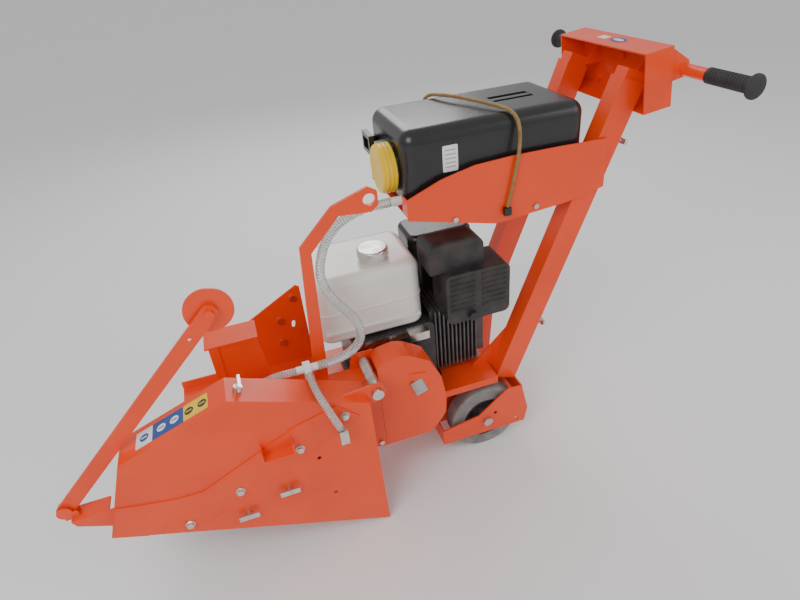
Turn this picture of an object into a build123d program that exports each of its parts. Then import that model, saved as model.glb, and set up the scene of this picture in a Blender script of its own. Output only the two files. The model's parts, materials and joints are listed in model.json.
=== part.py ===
from build123d import *
import math
import os

# Walk-behind wet-cutting disc trencher. Millimetres, +Z up, +X to the handle,
# +Y to the operator's right, ground at Z = 0.

os.makedirs("parts", exist_ok=True)

# ---- driving dimensions -------------------------------------------------
SHEET = 3.0                 # folded sheet of guard, casing, tray and box
PLATE = 4.0                 # chassis and bracket plate
RUN = 0.05                  # radial clearance of a running fit
GAP = 0.4                   # clearance between bodies with curved faces

CHASSIS_FRONT = -516.0      # front end of the chassis
CHASSIS_REAR = 290.0        # rear edge of the deck
CHASSIS_HALF = 150.0        # half width over the side plates
CHASSIS_LOW = 165.0         # lower edge of the side plates
DECK_Z = 228.0              # top of the deck, the engine's seat

BLADE_D = 350.0             # cutting disc
BLADE_T = 4.0
ARBOR_X = -372.0
ARBOR_Z = 290.0
ARBOR_R = 12.5

GUARD_NEAR = -290.0         # outer face of the outboard guard plate
GUARD_FAR = -214.0          # outer face of the inboard guard plate
GUARD_TILT = 21.5           # the guard's bottom rises this much to the front
GUARD_X = -664.0            # front bottom corner
GUARD_Z = 234.0
GUARD_LEN = 631.0
GUARD_FRONT = 200.0         # height of the front edge
GUARD_TOP = 364.0           # height of the flat top
GUARD_FOLD = 182.0          # length before the top starts
GUARD_REAR = 481.0          # length at the top's rear end
INLET_X = -154.0            # water inlet of the guard
INLET_Z = 350.0

CASING_FACE = -211.0        # near face of the belt casing
CASING_TOP = 384.0
CASING_SEAM = -43.0         # where the casing meets the rear belt cover
PIVOT_X = -61.0             # the guard's hinge pin
PIVOT_Z = 403.0
PIVOT_R = 8.0
CRANK_X = 32.0
CRANK_Z = 335.0
CRANK_R = 12.5
DRIVE_R = 40.0              # pitch radius of the engine pulley
DRIVEN_R = 38.0             # pitch radius of the arbor pulley
BELT_Y = -180.0
BELT_W = 16.0
BELT_T = 10.0

WHEEL_R = 98.0              # rear wheels
WHEEL_W = 44.0
WHEEL_Y = 133.0
WHEEL_X = 250.0
CASTOR_R = 75.0             # front wheels
CASTOR_W = 36.0
CASTOR_Y = 95.0
CASTOR_X = -440.0
CRADLE_X = -280.0           # pivot of the front wheel cradle
CRADLE_Z = 190.0
WHEEL_ROOM = 7.0            # each side of a front wheel in the deck's front lip
LIP_NOTCH_Z = 212.0         # top of those two notches
BOLT_R = 8.0

LEAN = 21.9                 # the handle columns lean back this much
COLUMN_X = 295.0            # front lower corner of a column
COLUMN_Z = 208.0
COLUMN_D = 58.0             # outer tube, along its depth
COLUMN_W = 46.0             # outer tube, across
COLUMN_Y = 107.0            # centre of each column
COLUMN_WALL = 3.5
COLUMN_LEN = 785.0
TUBE_SLACK = 0.5            # each side of the sliding inner tube
INNER_OUT = 20.0            # the inner tube stands out this far when pushed in
INNER_IN = 330.0            # and reaches this far down inside

TRAY_Z = 730.0              # tray floor
TRAY_HALF = 137.0
TRAY_X0 = 83.0
TRAY_X1 = 560.0
TANK_X0 = 88.0
TANK_LEN = 422.0
TANK_HALF = 122.0
TANK_H = 172.0
TANK_R = 30.0
CAP_R = 54.0
CAP_Y = -44.0
CAP_Z = 812.0

BOX_HALF = 161.0
TOP_X = COLUMN_X + COLUMN_LEN * math.sin(math.radians(LEAN))
TOP_Z = COLUMN_Z + COLUMN_LEN * math.cos(math.radians(LEAN))
BOX_BACK = 21.2             # box corner and bar, from the columns' front upper corner
BOX_UP = 46.65
BAR_BACK = 128.2
BAR_UP = 1.65
BOX_X0 = TOP_X + BOX_BACK   # front edge at the top
BOX_Z1 = TOP_Z + BOX_UP
BOX_DEPTH = 68.0
BOX_H = 126.0
BOX_TILT = 7.0
BAR_X = TOP_X + BAR_BACK    # handlebar
BAR_Z = TOP_Z + BAR_UP
BAR_R = 13.0
BAR_HALF = 340.0
GRIP_LEN = 132.0
GRIP_R = 16.0
FLANGE_R = 24.0

POINT_X = -731.0            # pointer hinge
POINT_Z = 311.0
POINT_Y = -252.0
POINT_LEN = 538.0
POINT_ANGLE = 44.2
POINT_W = 32.0
POINT_T = 6.0
POINT_PIN_R = 6.0           # hinge pin and disc axle
POINT_SIDE = 10.0           # from the arm's middle to the outer face of a cheek
CHEEK_T = 3.0
DISC_R = 46.0

HOSE_D = 20.0
BRANCH_D = 16.0
STRAP_D = 8.0


# ---- helpers ------------------------------------------------------------
def side(y):
    """The plane facing the near side at this Y; its x is X and its y is Z."""
    return Plane.XZ.offset(-y)


def plate(points, y0, y1, holes=(), soft=0.0):
    """A flat plate in an XZ outline between two Y values, with round holes."""
    with BuildPart() as p:
        with BuildSketch(side(y0)) as s:
            with BuildLine():
                Polyline(*points, close=True)
            make_face()
            if soft:
                fillet(s.vertices(), soft)
            for x, z, r in holes:
                with Locations((x, z)):
                    Circle(r, mode=Mode.SUBTRACT)
        extrude(amount=y0 - y1)
    return p


def block(x, y, z):
    """A box given by its low and high value on each axis."""
    with Locations(((x[0] + x[1]) / 2, (y[0] + y[1]) / 2, (z[0] + z[1]) / 2)):
        Box(x[1] - x[0], y[1] - y[0], z[1] - z[0])


def rod_y(x, z, r, y0, y1, mode=Mode.ADD):
    """A round bar along Y."""
    with BuildSketch(side(y0)) as end:
        with Locations((x, z)):
            Circle(r)
    extrude(end.sketch, amount=y0 - y1, mode=mode)


def save(part, label):
    part.part.label = label
    export_step(part.part, "parts/" + label + ".step")


def tube(points, d, name):
    """A soft round tube: straight runs joined by tangent arcs."""
    pts = [Vector(*p) for p in points]
    radii = []
    for a, b, c in zip(pts, pts[1:], pts[2:]):
        turn = (b - a).get_angle(c - b)
        short = min((b - a).length, (c - b).length)
        radii.append(0.45 * short / math.tan(math.radians(turn / 2)))
    with BuildPart() as t:
        with BuildLine() as line:
            FilletPolyline(*pts, radius=radii)
        with BuildSketch(Plane(origin=line.line @ 0, z_dir=line.line % 0)):
            Circle(d / 2)
        sweep()
    length = sum(e.length for e in line.edges())
    share = t.part.volume / (math.pi * d * d / 4 * length)
    print(name, "length", round(length, 1), "volume share", round(share, 4))
    print("  radii", [round(r) for r in radii])
    return t


def guard(u, v):
    """A point of the guard: u along its bottom from the front, v above it."""
    c = math.cos(math.radians(GUARD_TILT))
    s = math.sin(math.radians(GUARD_TILT))
    return (GUARD_X + u * c + v * s, GUARD_Z - u * s + v * c)


def column(u, v):
    """A point of a column: u across its depth from the front face, v up it."""
    c = math.cos(math.radians(LEAN))
    s = math.sin(math.radians(LEAN))
    return (COLUMN_X + u * c + v * s, COLUMN_Z - u * s + v * c)


def boxed(u, v):
    """A point of the control box: u rearwards and v down from its top front."""
    c = math.cos(math.radians(BOX_TILT))
    s = math.sin(math.radians(BOX_TILT))
    return (BOX_X0 + u * c + v * s, BOX_Z1 + u * s - v * c)


def quad(f, u0, u1, v0, v1):
    """The four corners of a rectangle in a tilted frame."""
    return [f(u0, v0), f(u1, v0), f(u1, v1), f(u0, v1)]


# ---- chassis ------------------------------------------------------------
near_outline = [
    (CHASSIS_FRONT, CHASSIS_LOW), (CHASSIS_FRONT, DECK_Z + 24), (-466, 330), (-430, 350),
    (-300, CASING_TOP), (PIVOT_X - 34, CASING_TOP), (PIVOT_X - 24, PIVOT_Z + 22),
    (PIVOT_X + 24, PIVOT_Z + 22), (60, CASING_TOP), (110, DECK_Z), (CHASSIS_REAR, DECK_Z),
    (CHASSIS_REAR, 207), (138, 207), (112, CHASSIS_LOW),
]
near_side = plate(
    near_outline, -CHASSIS_HALF, -CHASSIS_HALF + PLATE,
    [(ARBOR_X, ARBOR_Z, 34), (CRANK_X, CRANK_Z, 30), (CRADLE_X, CRADLE_Z, BOLT_R + RUN)],
)
save(near_side, "chassis_side_near")

far_outline = [
    (CHASSIS_FRONT, CHASSIS_LOW), (CHASSIS_FRONT, DECK_Z + 24), (-150, DECK_Z + 24),
    (-140, DECK_Z), (CHASSIS_REAR, DECK_Z), (CHASSIS_REAR, 207), (138, 207),
    (112, CHASSIS_LOW),
]
far_side = plate(
    far_outline, CHASSIS_HALF - PLATE, CHASSIS_HALF,
    [(CRADLE_X, CRADLE_Z, BOLT_R + RUN)],
)
save(far_side, "chassis_side_far")

IN = CHASSIS_HALF - PLATE
with BuildPart() as deck:
    block((CHASSIS_FRONT, CHASSIS_REAR), (-IN, IN), (DECK_Z - PLATE, DECK_Z))
    block((CHASSIS_FRONT, CHASSIS_FRONT + PLATE), (-IN, IN), (CHASSIS_LOW, DECK_Z))
    block((100, 100 + PLATE), (-IN, IN), (CHASSIS_LOW, DECK_Z))
    with Locations(
        (CHASSIS_FRONT, -CASTOR_Y, CHASSIS_LOW), (CHASSIS_FRONT, CASTOR_Y, CHASSIS_LOW),
    ):
        Box(
            3 * PLATE, CASTOR_W + 2 * WHEEL_ROOM, 2 * (LIP_NOTCH_Z - CHASSIS_LOW),
            mode=Mode.SUBTRACT,
        )
    cheek_y = COLUMN_Y - COLUMN_W / 2 - PLATE / 2
    with Locations((266, -cheek_y, DECK_Z), (266, cheek_y, DECK_Z)):
        Box(60, PLATE + 1, 20, mode=Mode.SUBTRACT)
save(deck, "chassis_deck")

# front tower: a folded box that carries the hose and the near arm's brace
TOWER_X0 = -392.0
TOWER_X1 = -278.0
TOWER_Z = 528.0
TOWER_Y0 = -132.0
TOWER_Y1 = -62.0
with BuildPart() as tower:
    block((TOWER_X0, TOWER_X1), (TOWER_Y0, TOWER_Y1), (TOWER_Z - PLATE, TOWER_Z))
    with BuildSketch(side(TOWER_Y0 + PLATE)):
        with BuildLine():
            Polyline(
                (TOWER_X0 + 30, DECK_Z), (TOWER_X0 + 18, TOWER_Z - PLATE),
                (TOWER_X1 - 4, TOWER_Z - PLATE), (TOWER_X1 + 14, 360),
                (TOWER_X1 + 20, DECK_Z), close=True,
            )
        make_face()
    extrude(amount=-PLATE)
    block((TOWER_X0 + 40, TOWER_X0 + 46), (TOWER_Y0 + 8, TOWER_Y1), (DECK_Z, TOWER_Z - 4))
    block((TOWER_X0 + 8, TOWER_X0 + 28), (TOWER_Y0 + 1, TOWER_Y0 + 11), (400, TOWER_Z - 4))
    block((TOWER_X0 + 8, TOWER_X0 + 42), (TOWER_Y0 + 1, TOWER_Y0 + 11), (400, 416))
    block((TOWER_X0 + 54, TOWER_X0 + 78), (TOWER_Y0 - 10, TOWER_Y0 + 4), (384, 408))
save(tower, "front_tower")

# inboard brace on the far side with its slot
with BuildPart() as brace:
    with BuildSketch(side(CHASSIS_HALF - PLATE)):
        with BuildLine():
            Polyline(
                (-350, DECK_Z + 24), (-350, 360), (-336, 373), (-160, 469), (-150, 462),
                (-150, DECK_Z + 24), close=True,
            )
        make_face()
        for x, z in ((-174, 433), (-219, 371), (-225, 300)):
            with Locations((x, z)):
                Circle(5, mode=Mode.SUBTRACT)
        with Locations((-186, 351)):
            SlotOverall(22, 9, rotation=80, mode=Mode.SUBTRACT)
    extrude(amount=-PLATE)
save(brace, "far_brace")


# ---- rear wheel brackets ------------------------------------------------
def wheel_bracket(sign):
    """The cheeks and cross walls around one rear wheel."""
    outer = 167.0
    inner = COLUMN_Y - COLUMN_W / 2
    cheek = [
        (122, 56), (363, 56), (372, 102), (352, 186), (312, 190), (226, 122), (122, 104),
    ]
    tall = [
        (122, 56), (363, 56), (372, 102), (392, 330), (350, 330), (240, DECK_Z - PLATE),
        (122, DECK_Z - PLATE),
    ]
    with BuildPart() as p:
        for points, y in ((cheek, outer - PLATE), (tall, inner - PLATE)):
            with BuildSketch(side(min(sign * y, sign * (y + PLATE)))):
                with BuildLine():
                    Polyline(*points, close=True)
                make_face()
                with Locations((WHEEL_X, WHEEL_R)):
                    Circle(BOLT_R, mode=Mode.SUBTRACT)
                with Locations((275, 117), (338, 72)):
                    Circle(5, mode=Mode.SUBTRACT)
            extrude(amount=-PLATE)
        low = sorted((sign * (inner - PLATE), sign * outer))
        block((122, 122 + PLATE), low, (56, 104))
        block((359, 363), low, (56, 100))
        block((350, 350 + PLATE), low, (140, 186))
    return p


save(wheel_bracket(-1), "wheel_bracket_near")
save(wheel_bracket(1), "wheel_bracket_far")

with BuildPart() as axles:
    for s in (-1, 1):
        a, b = sorted((s * 74.0, s * 172.0))
        rod_y(WHEEL_X, WHEEL_R, BOLT_R, a, b)
        a, b = sorted((s * 167.0, s * 176.0))
        with BuildSketch(side(a)):
            with Locations((WHEEL_X, WHEEL_R)):
                RegularPolygon(14, 6)
        extrude(amount=a - b)
        a, b = sorted((s * 72.0, s * 80.0))
        with BuildSketch(side(a)):
            with Locations((WHEEL_X, WHEEL_R)):
                RegularPolygon(13, 6)
        extrude(amount=a - b)
save(axles, "rear_axle_bolts")


def tyre(x, z, y, r, w, bore):
    """A solid rubber ring with softened shoulders."""
    with BuildPart() as p:
        with BuildSketch(side(y - w / 2)):
            with Locations((x, z)):
                Circle(r)
                Circle(bore, mode=Mode.SUBTRACT)
        extrude(amount=-w)
        rims = p.edges().filter_by(GeomType.CIRCLE).group_by(SortBy.RADIUS)[-1]
        fillet(rims, min(6.0, w / 5))
    return p


def rim(x, z, y, r, w):
    """A dished wheel disc with a hub that runs on its bolt."""
    with BuildPart() as p:
        rod_y(x, z, r, y - w / 2 + 2, y + w / 2 - 2)
        rod_y(x, z, r - 7, y - w / 2 + 2, y - 6, Mode.SUBTRACT)
        rod_y(x, z, r - 7, y + 6, y + w / 2 - 2, Mode.SUBTRACT)
        rod_y(x, z, BOLT_R + 9, y - w / 2 - 3, y + w / 2 + 3)
        rod_y(x, z, BOLT_R + RUN, y - w, y + w, Mode.SUBTRACT)
    return p


for label, y in (("near", -WHEEL_Y), ("far", WHEEL_Y)):
    save(tyre(WHEEL_X, WHEEL_R, y, WHEEL_R, WHEEL_W, 62), "rear_tyre_" + label)
    save(rim(WHEEL_X, WHEEL_R, y, 62, WHEEL_W), "rear_rim_" + label)

# ---- front wheels on their depth cradle ---------------------------------
with BuildPart() as cradle:
    for s in (-1, 1):
        y0, y1 = sorted((s * 66.0, s * 70.0))
        with BuildSketch(side(y0)):
            with BuildLine():
                Polyline(
                    (CRADLE_X + 20, CRADLE_Z - 18), (CRADLE_X + 20, CRADLE_Z + 18),
                    (CRADLE_X - 30, CRADLE_Z + 18), (CASTOR_X - 18, CASTOR_R + 18),
                    (CASTOR_X - 18, CASTOR_R - 18), (CASTOR_X + 18, CASTOR_R - 18),
                    close=True,
                )
            make_face()
        extrude(amount=y0 - y1)
    rod_y(CRADLE_X, CRADLE_Z, BOLT_R, -154, 154)
    rod_y(CRADLE_X, CRADLE_Z, 16, -66, 66)
    rod_y(CASTOR_X, CASTOR_R, BOLT_R, -118, 118)
    for s in (-1, 1):
        a, b = sorted((s * 118.0, s * 124.0))
        rod_y(CASTOR_X, CASTOR_R, 13, a, b)
save(cradle, "front_cradle")

for label, y in (("near", -CASTOR_Y), ("far", CASTOR_Y)):
    with BuildPart() as wheel:
        rod_y(CASTOR_X, CASTOR_R, CASTOR_R, y - CASTOR_W / 2, y + CASTOR_W / 2)
        fillet(wheel.edges().filter_by(GeomType.CIRCLE), 5)
        rod_y(CASTOR_X, CASTOR_R, 18, y - 21, y + 21)
        rod_y(CASTOR_X, CASTOR_R, BOLT_R + RUN, y - 40, y + 40, Mode.SUBTRACT)
    save(wheel, "front_wheel_" + label)

# ---- belt casing, cover and drive ---------------------------------------
casing_outline = [
    (-462, 218), (-462, 318), (-430, 345), (-300, CASING_TOP), (CASING_SEAM, CASING_TOP),
    (CASING_SEAM, 170), (-330, 205), (-440, 205),
]
with BuildPart() as casing:
    with BuildSketch(side(CASING_FACE)):
        with BuildLine():
            Polyline(*casing_outline, close=True)
        make_face()
    extrude(amount=CASING_FACE + CHASSIS_HALF)
    with BuildSketch(side(CASING_FACE + SHEET)) as hollow:
        with BuildLine():
            Polyline(*casing_outline, close=True)
        make_face()
        offset(amount=-SHEET, kind=Kind.INTERSECTION)
    extrude(amount=CASING_FACE + SHEET + CHASSIS_HALF, mode=Mode.SUBTRACT)
    seam = (CASING_SEAM - SHEET - 2, CASING_SEAM + 1)
    with Locations(((seam[0] + seam[1]) / 2, -179, 277)):
        Box(seam[1] - seam[0], 58 - 2 * SHEET, 208, mode=Mode.SUBTRACT)
    rod_y(ARBOR_X, ARBOR_Z, 34, CASING_FACE - 1, CASING_FACE + SHEET + 1, Mode.SUBTRACT)
save(casing, "belt_casing")

cover_outline = [
    (CASING_SEAM + 0.6, 170), (73, 170), (90, 184), (117, 221), (121, 273), (110, 340),
    (84, 396), (37, 427), (13, 434), (-27, 428), (CASING_SEAM + 0.6, 412),
]
with BuildPart() as cover:
    with BuildSketch(side(CASING_FACE)):
        with BuildLine():
            Polyline(*cover_outline, close=True)
        make_face()
    extrude(amount=CASING_FACE + CHASSIS_HALF)
    with BuildSketch(side(CASING_FACE + SHEET)):
        with BuildLine():
            Polyline(*cover_outline, close=True)
        make_face()
        offset(amount=-SHEET, kind=Kind.INTERSECTION)
    extrude(amount=CASING_FACE + SHEET + CHASSIS_HALF, mode=Mode.SUBTRACT)
    with Locations((CASING_SEAM + 2, -179, 277)):
        Box(8, 58 - 2 * SHEET, 208, mode=Mode.SUBTRACT)
    with BuildSketch(side(CASING_FACE)):
        with BuildLine():
            Polyline((32, 374), (49, 329), (85, 330), (72, 368), close=True)
        make_face()
    extrude(amount=3)
save(cover, "belt_cover")

centre = math.hypot(CRANK_X - ARBOR_X, CRANK_Z - ARBOR_Z)
line_up = math.atan2(CRANK_Z - ARBOR_Z, CRANK_X - ARBOR_X)


def belt_outline(grow):
    """The tangent outline around both pulleys, grown by this much."""
    lean = math.asin((DRIVE_R - DRIVEN_R) / centre)
    ends = []
    for s in (1, -1):
        a = line_up + s * (math.pi / 2 + lean)
        for x, z, r in ((ARBOR_X, ARBOR_Z, DRIVEN_R), (CRANK_X, CRANK_Z, DRIVE_R)):
            k = r + grow
            ends.append((x + k * math.cos(a), z + k * math.sin(a)))
    return ends


with BuildPart() as belt:
    for grow, mode in ((BELT_T / 2, Mode.ADD), (-BELT_T / 2, Mode.SUBTRACT)):
        up0, up1, low0, low1 = belt_outline(grow)
        wide = BELT_W / 2 if mode == Mode.ADD else BELT_W
        with BuildSketch(side(BELT_Y - wide)):
            with Locations((ARBOR_X, ARBOR_Z)):
                Circle(DRIVEN_R + grow)
            with Locations((CRANK_X, CRANK_Z)):
                Circle(DRIVE_R + grow)
            with BuildLine():
                Polyline(up0, up1, low1, low0, close=True)
            make_face()
        extrude(amount=-2 * wide, mode=mode)
save(belt, "drive_belt")


def pulley(x, z, r, bore):
    """A flat-bottomed grooved pulley: the belt runs clear of every face."""
    with BuildPart() as p:
        rod_y(x, z, r - BELT_T / 2 - GAP, BELT_Y - 14, BELT_Y + 14)
        rod_y(x, z, r + 6, BELT_Y - 14, BELT_Y - BELT_W / 2 - GAP)
        rod_y(x, z, r + 6, BELT_Y + BELT_W / 2 + GAP, BELT_Y + 14)
        rod_y(x, z, bore, BELT_Y - 20, BELT_Y + 20, Mode.SUBTRACT)
    return p


save(pulley(CRANK_X, CRANK_Z, DRIVE_R, CRANK_R), "drive_pulley")
save(pulley(ARBOR_X, ARBOR_Z, DRIVEN_R, ARBOR_R), "arbor_pulley")

with BuildPart() as crank:
    rod_y(CRANK_X, CRANK_Z, CRANK_R, -200, -60)
save(crank, "crankshaft")

BLADE_Y = (GUARD_NEAR + GUARD_FAR) / 2
HUB_R = 50.0
with BuildPart() as housing:
    rod_y(ARBOR_X, ARBOR_Z, HUB_R, CASING_FACE - 2.4, CASING_FACE)
    rod_y(ARBOR_X, ARBOR_Z, 34, CASING_FACE, CASING_FACE + 12)
    rod_y(ARBOR_X, ARBOR_Z, ARBOR_R + RUN, CASING_FACE - 10, CASING_FACE + 20, Mode.SUBTRACT)
    rod_y(ARBOR_X, ARBOR_Z, 34, -CHASSIS_HALF, -134)
    rod_y(ARBOR_X, ARBOR_Z, 48, -CHASSIS_HALF + PLATE, -CHASSIS_HALF + PLATE + 8)
    rod_y(ARBOR_X, ARBOR_Z, ARBOR_R + RUN, -CHASSIS_HALF - 1, -100, Mode.SUBTRACT)
save(housing, "arbor_bearings")

with BuildPart() as arbor:
    rod_y(ARBOR_X, ARBOR_Z, ARBOR_R, -278, -136)
    rod_y(ARBOR_X, ARBOR_Z, 42, BLADE_Y + BLADE_T / 2, BLADE_Y + BLADE_T / 2 + 8)
save(arbor, "arbor_shaft")

with BuildPart() as clamp:
    rod_y(ARBOR_X, ARBOR_Z, 42, BLADE_Y - BLADE_T / 2 - 8, BLADE_Y - BLADE_T / 2)
    with BuildSketch(side(BLADE_Y - BLADE_T / 2 - 22)):
        with Locations((ARBOR_X, ARBOR_Z)):
            RegularPolygon(21, 6)
    extrude(amount=-14)
    rod_y(ARBOR_X, ARBOR_Z, ARBOR_R, -290, -240, Mode.SUBTRACT)
save(clamp, "blade_clamp")

with BuildPart() as blade:
    with BuildSketch(side(BLADE_Y - BLADE_T / 2)):
        with Locations((ARBOR_X, ARBOR_Z)):
            Circle(BLADE_D / 2)
            Circle(ARBOR_R, mode=Mode.SUBTRACT)
            with PolarLocations(BLADE_D / 2 - 4, 24):
                Rectangle(16, 3, mode=Mode.SUBTRACT)
    extrude(amount=-BLADE_T)
save(blade, "cutting_disc")

# ---- guard --------------------------------------------------------------
EAR_Y = -271.5              # near face of the guard's hinge ear
guard_outline = [
    guard(0, 0), guard(0, GUARD_FRONT), guard(GUARD_FOLD, GUARD_TOP),
    guard(GUARD_REAR, GUARD_TOP), guard(GUARD_LEN, 0),
]
fall = (GUARD_LEN - GUARD_REAR) / GUARD_TOP
guard_hollow = [
    guard(SHEET, -40), guard(SHEET, GUARD_FRONT - 1.5),
    guard(GUARD_FOLD + 1.5, GUARD_TOP - SHEET), guard(GUARD_REAR + 60, GUARD_TOP - SHEET),
    guard(GUARD_LEN + 60 + 40 * fall, -40),
]
with BuildPart() as shell:
    with BuildSketch(side(GUARD_NEAR)):
        with BuildLine():
            Polyline(*guard_outline, close=True)
        make_face()
    extrude(amount=GUARD_NEAR - GUARD_FAR)
    with BuildSketch(side(GUARD_NEAR + SHEET)):
        with BuildLine():
            Polyline(*guard_hollow, close=True)
        make_face()
    extrude(amount=GUARD_NEAR - GUARD_FAR + 2 * SHEET, mode=Mode.SUBTRACT)
    with BuildSketch(side(GUARD_FAR - SHEET - 1)):
        with BuildLine():
            Polyline(
                guard(160, -9), guard(190, 190), guard(230, 215), guard(330, 190),
                guard(520, -9), close=True,
            )
        make_face()
    extrude(amount=-SHEET - 2, mode=Mode.SUBTRACT)
    with BuildSketch(side(EAR_Y)):
        with BuildLine():
            Polyline(
                guard(420, GUARD_TOP - 1), (PIVOT_X - 8, PIVOT_Z + 23),
                (PIVOT_X + 14, PIVOT_Z + 18), (PIVOT_X + 22, PIVOT_Z),
                (PIVOT_X + 12, PIVOT_Z - 20), guard(GUARD_REAR - 1, GUARD_TOP - 30),
                guard(440, GUARD_TOP - 30), close=True,
            )
        make_face()
        with Locations((PIVOT_X, PIVOT_Z)):
            Circle(PIVOT_R + RUN, mode=Mode.SUBTRACT)
    extrude(amount=-6)
    for u, v in ((402, 208), (465, 100)):
        x, z = guard(u, v)
        rod_y(x, z, 5, GUARD_NEAR - 1, GUARD_NEAR + SHEET + 1, Mode.SUBTRACT)
save(shell, "guard_shell")

# overlay sheet with its diagonal arm, and the open bracket above it
NEAR_SKIN = GUARD_NEAR - SHEET
with BuildPart() as overlay:
    with BuildSketch(side(NEAR_SKIN)):
        with BuildLine():
            Polyline(
                guard(3, 3), guard(70, 2), guard(92, 12), guard(104, 44), guard(126, 56),
                guard(150, 36), guard(186, 34), guard(210, 58), guard(278, 148),
                guard(300, 150), guard(466, 330), guard(406, 356), guard(330, 300),
                guard(168, 124), guard(118, 106), guard(40, 92), guard(3, 88), close=True,
            )
        make_face()
    extrude(amount=-SHEET)
    rod_y(INLET_X, INLET_Z, 9.0, NEAR_SKIN - 1, GUARD_NEAR + 1, Mode.SUBTRACT)
    bx, bz = guard(300, 250)
    block((bx - 34, bx - 31), (NEAR_SKIN - 26, GUARD_NEAR), (bz - 12, bz + 14))
    block((bx + 31, bx + 34), (NEAR_SKIN - 26, GUARD_NEAR), (bz - 12, bz + 14))
    block((bx - 34, bx + 34), (NEAR_SKIN - 26, GUARD_NEAR), (bz - 15, bz - 12))
save(overlay, "guard_overlay")

guard_bolts = [(431, 332), (352, 240), (244, 122), (152, 30)]
wing_bolts = [(274, 50), (352, 120)]
with BuildPart() as fixings:
    for u, v in guard_bolts:
        x, z = guard(u, v)
        rod_y(x, z, 10, NEAR_SKIN - 1.5, NEAR_SKIN)
        with BuildSketch(side(NEAR_SKIN - 8)):
            with Locations((x, z)):
                RegularPolygon(8, 6)
        extrude(amount=-7)
    for u, v in wing_bolts:
        x, z = guard(u, v)
        rod_y(x, z, 8, GUARD_NEAR - 12, GUARD_NEAR)
        block((x - 22, x + 22), (GUARD_NEAR - 15, GUARD_NEAR - 11), (z - 6, z + 8))
    x, z = guard(205, GUARD_TOP)
    tilt = math.radians(GUARD_TILT)
    top = Plane(
        origin=(x, -257, z), z_dir=(math.sin(tilt), 0, math.cos(tilt)), x_dir=(0, 1, 0)
    )
    with BuildSketch(top):
        Circle(9)
    extrude(amount=12)
    with BuildSketch(top.offset(12)):
        Rectangle(40, 6)
    extrude(amount=14)
    rod_y(INLET_X, INLET_Z, 9, -330, GUARD_NEAR)
    block((INLET_X - 9, INLET_X + 9), (-332, -314), (INLET_Z - 9, INLET_Z + 27))
save(fixings, "guard_fixings")

# pointer bracket on the guard's front
with BuildPart() as nose:
    block((POINT_X + 8, -650), (-272, -232), (POINT_Z - 20, POINT_Z - 16))
    with BuildSketch(side(-272)):
        with BuildLine():
            Polyline(
                (POINT_X + 8, POINT_Z - 20), guard(-0.2, 66), guard(-0.2, 16),
                (POINT_X + 14, POINT_Z - 34), close=True,
            )
        make_face()
    extrude(amount=-PLATE)
    for s in (-1, 1):
        a, b = sorted((POINT_Y + s * (POINT_SIDE - CHEEK_T), POINT_Y + s * POINT_SIDE))
        rod_y(POINT_X, POINT_Z, 15, a, b)
        block((POINT_X - 4, POINT_X + 24), (a, b), (POINT_Z - 20, POINT_Z))
    rod_y(POINT_X, POINT_Z, POINT_PIN_R, POINT_Y - POINT_SIDE, POINT_Y + POINT_SIDE)
save(nose, "pointer_bracket")

c45 = math.cos(math.radians(POINT_ANGLE))
s45 = math.sin(math.radians(POINT_ANGLE))


def along(a, b):
    """A point of the pointer arm: a along it, b across it."""
    return (POINT_X + a * c45 - b * s45, POINT_Z + a * s45 + b * c45)


with BuildPart() as arm:
    with BuildSketch(side(POINT_Y - POINT_T / 2)):
        with BuildLine():
            Polyline(*quad(along, 0, POINT_LEN, -POINT_W / 2, POINT_W / 2), close=True)
        make_face()
        with Locations(along(POINT_LEN, 0), along(0, 0)):
            Circle(POINT_W / 2)
        with Locations(along(POINT_LEN - 66, 0)):
            Circle(4, mode=Mode.SUBTRACT)
        with Locations(along(0, 0)):
            Circle(POINT_PIN_R + RUN, mode=Mode.SUBTRACT)
    extrude(amount=-POINT_T)
    px, pz = along(POINT_LEN, 0)
    near_face = POINT_Y - POINT_T / 2
    rod_y(px, pz, POINT_PIN_R, POINT_Y, POINT_Y + 26)
    rod_y(px, pz, 13, near_face - 1.5, near_face)
    with BuildSketch(side(near_face - 8)) as nut:
        with Locations((px, pz)):
            RegularPolygon(10, 6)
    extrude(nut.sketch, amount=-7)
save(arm, "pointer_arm")

with BuildPart() as disc:
    rod_y(px, pz, DISC_R, POINT_Y + 8, POINT_Y + 12)
    rod_y(px, pz, 22, POINT_Y + 8, POINT_Y + 17)
    rod_y(px, pz, POINT_PIN_R + RUN, POINT_Y, POINT_Y + 30, Mode.SUBTRACT)
save(disc, "pointer_disc")

# ---- engine -------------------------------------------------------------
with BuildPart() as crankcase:
    block((-70, 140), (-96, 108), (DECK_Z + 12, 420))
    fillet(crankcase.edges().filter_by(Axis.Y), 18)
    for x in (-84, 100):
        block((x, x + 54), (-90, 100), (DECK_Z, DECK_Z + 14))
    rod_y(CRANK_X, CRANK_Z, 58, -110, -95)
    rod_y(CRANK_X, CRANK_Z, CRANK_R + GAP, -112, -58, Mode.SUBTRACT)
save(crankcase, "engine_crankcase")

with BuildPart() as cylinder:
    block((140, 268), (-62, 62), (262, 424))
    for k in range(11):
        x = 148 + k * 11
        block((x, x + 4), (-80, 80), (248, 430))
    block((268, 286), (-66, 66), (266, 420))
save(cylinder, "engine_cylinder")

with BuildPart() as recoil:
    rod_y(CRANK_X, 350, 112, 108, 172)
    fillet(recoil.edges().group_by(Axis.Y)[-1], 14)
    block((CRANK_X - 60, CRANK_X + 170), (108, 118), (262, 440))
save(recoil, "recoil_housing")

with BuildPart() as starter:
    block((-16, 16), (172.4, 186), (392, 404))
    block((-5, 5), (172.4, 180), (388, 392))
save(starter, "starter_grip")

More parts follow.
